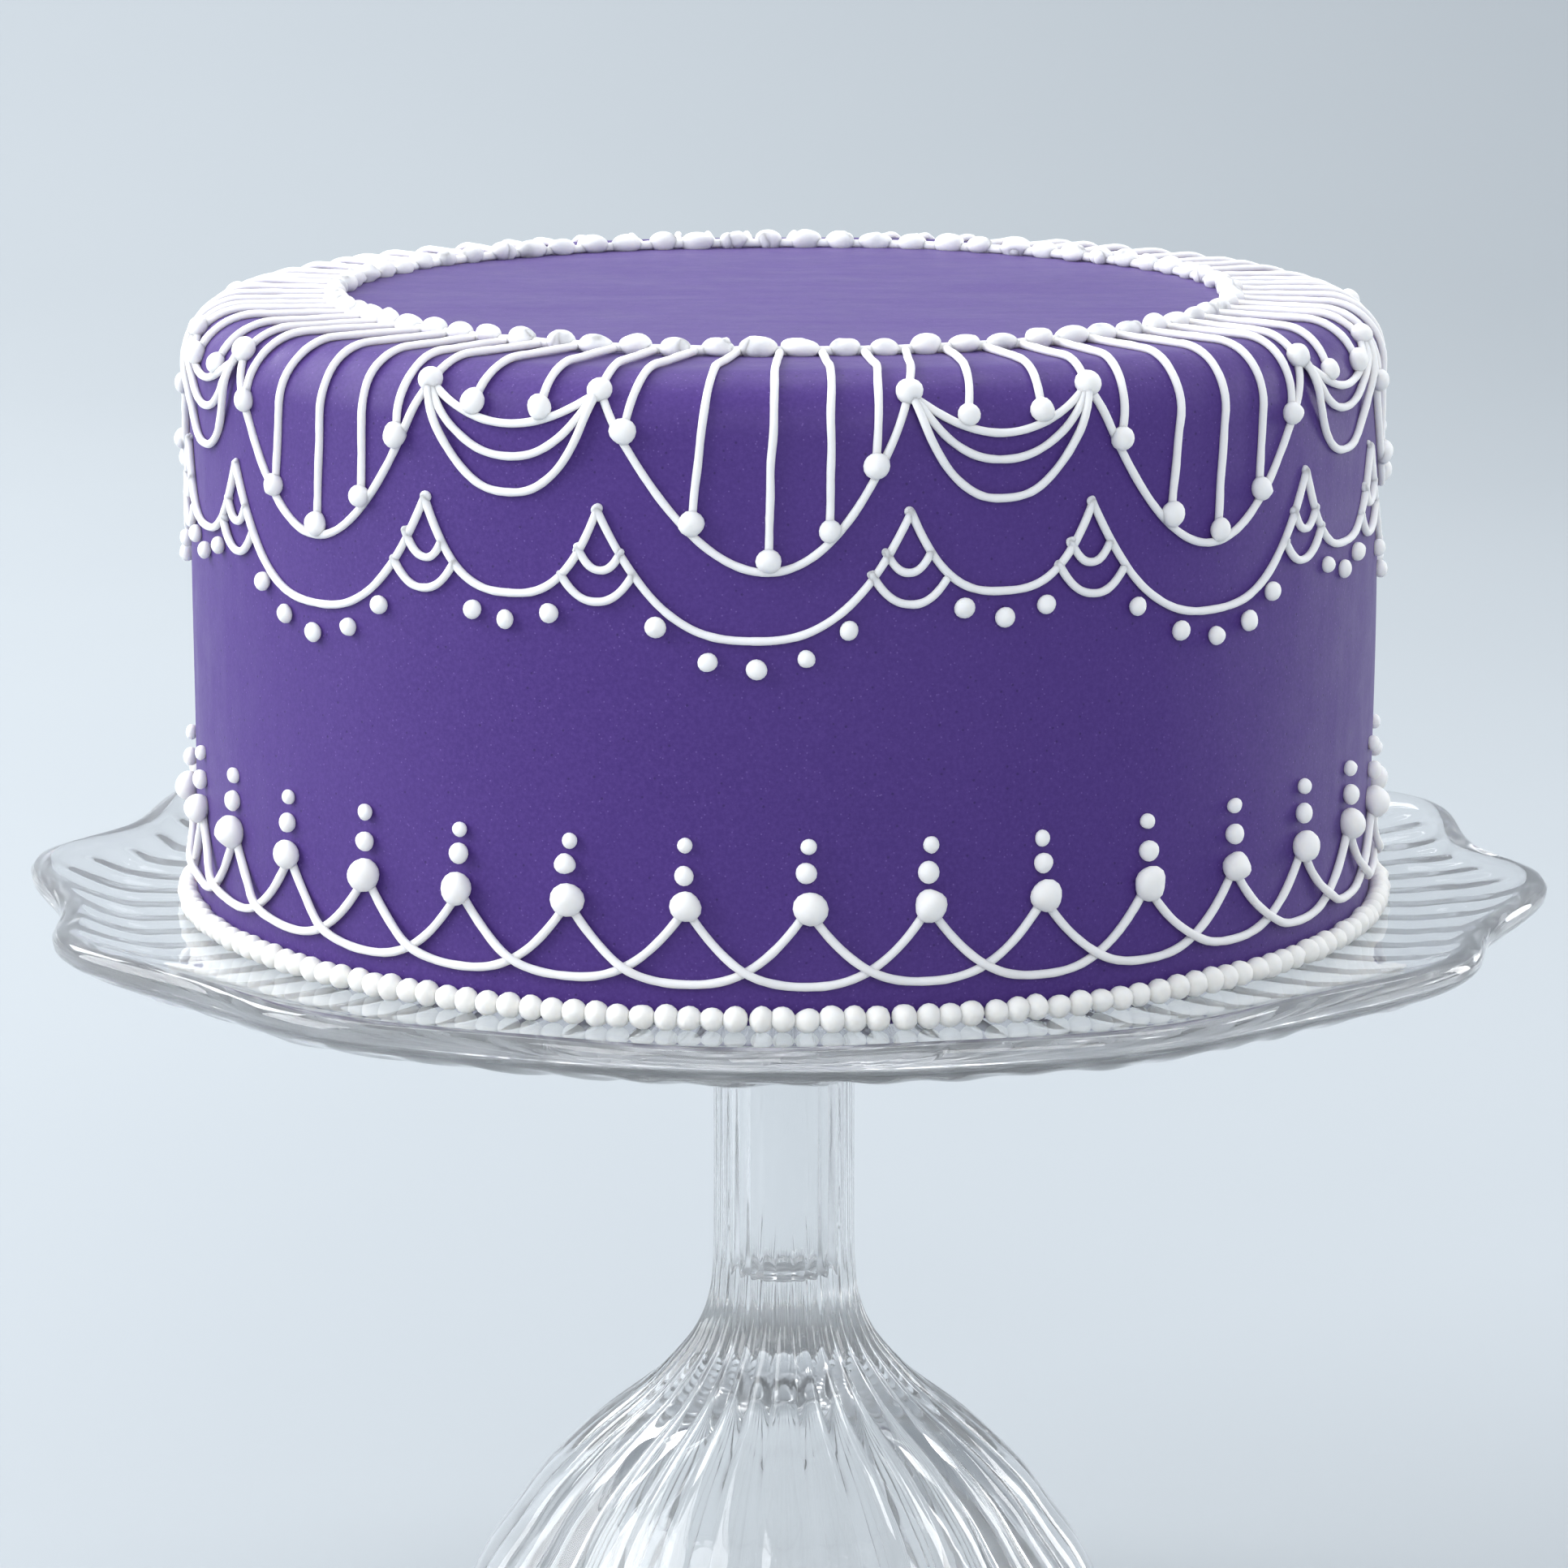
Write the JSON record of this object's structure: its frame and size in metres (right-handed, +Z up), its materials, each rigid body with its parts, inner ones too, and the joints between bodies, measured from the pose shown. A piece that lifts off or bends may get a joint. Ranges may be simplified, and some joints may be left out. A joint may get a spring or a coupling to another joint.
{
  "type": "cake on stand",
  "caption": "Round celebration cake in violet fondant with piped white garlands, beads and loops, on a clear pressed-glass pedestal stand; the cake lifts off",
  "frame": {"origin": "centre of the foot's underside, on the surface that the stand rests on", "axes": "+Z up through the stem and the cake; -Y towards the front of the picture; +X to the right"},
  "size_m": [0.2706, 0.2706, 0.2645],
  "materials": {
    "glass": "gloss",
    "fondant": "satin",
    "icing": "matte",
    "buttercream": "satin",
    "sponge": "matte",
    "board": "satin"
  },
  "bodies": {
    "stand": {"stand_pedestal": "glass", "stand_plate": "glass"},
    "cake": {"base_bead_border": "icing", "base_loops_inner": "icing", "base_loops_outer": "icing", "buttercream_coat": "buttercream", "cake_board": "board", "filling_layer_1": "buttercream", "filling_layer_2": "buttercream", "filling_layer_3": "buttercream", "fondant_cover": "fondant", "garland_1": "icing", "garland_2": "icing", "garland_3": "icing", "garland_4": "icing", "garland_5": "icing", "garland_6": "icing", "garland_7": "icing", "garland_8": "icing", "lower_swag_1": "icing", "lower_swag_2": "icing", "lower_swag_3": "icing", "lower_swag_4": "icing", "lower_swag_5": "icing", "lower_swag_6": "icing", "lower_swag_7": "icing", "lower_swag_8": "icing", "middle_swag_1": "icing", "middle_swag_2": "icing", "middle_swag_3": "icing", "middle_swag_4": "icing", "middle_swag_5": "icing", "middle_swag_6": "icing", "middle_swag_7": "icing", "middle_swag_8": "icing", "scallop_1": "icing", "scallop_2": "icing", "scallop_3": "icing", "scallop_4": "icing", "scallop_5": "icing", "scallop_6": "icing", "scallop_7": "icing", "scallop_8": "icing", "sponge_layer_1": "sponge", "sponge_layer_2": "sponge", "sponge_layer_3": "sponge", "sponge_layer_4": "sponge", "top_border_and_strings": "icing"}
  },
  "joints": [
    {"name": "cake_lift", "type": "slide", "parent": "stand", "child": "cake", "axis": [0, 0, 1], "range_m": [0, 0.15]}
  ]
}
